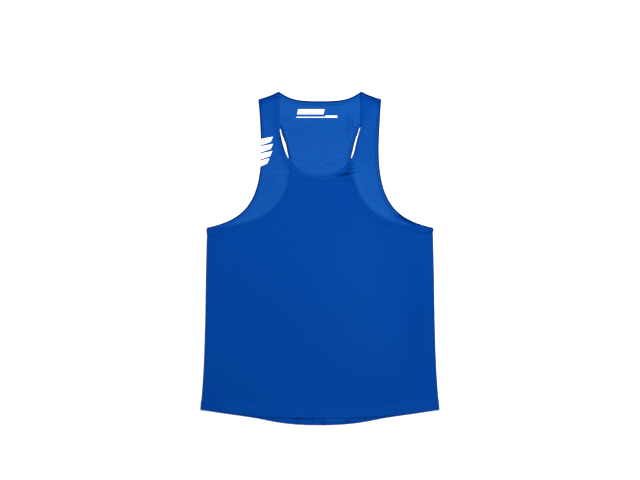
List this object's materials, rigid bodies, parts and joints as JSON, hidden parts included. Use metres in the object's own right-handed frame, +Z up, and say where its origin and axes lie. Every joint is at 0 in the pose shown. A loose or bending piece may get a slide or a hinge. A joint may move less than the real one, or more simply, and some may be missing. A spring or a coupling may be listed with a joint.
{
  "type": "running singlet laid flat",
  "caption": "Sleeveless running top with a racerback, deep scoop neck, bound neck and armholes and a dipped back hem, laid flat face up.",
  "frame": {"origin": "on the surface it lies on, under the middle of the garment's length and width", "axes": "+Y from hem to neck along the centre line, +X to the wearer's left, +Z up out of the front"},
  "size_m": [0.5174, 0.7232, 0.0023],
  "materials": {
    "back_knit": "fine royal blue polyester jersey, matt with a faint sheen, slightly see-through",
    "front_knit": "fine royal blue polyester jersey, matt with a faint sheen, slightly see-through",
    "neck_binding_knit": "folded strip of the same jersey, matt",
    "left_binding_knit": "folded strip of the same jersey, matt",
    "right_binding_knit": "folded strip of the same jersey, matt"
  },
  "bodies": {
    "root": {"back_panel": "back_knit", "front_panel": "front_knit", "neck_binding": "neck_binding_knit", "armhole_binding_left": "left_binding_knit", "armhole_binding_right": "right_binding_knit"}
  },
  "joints": []
}
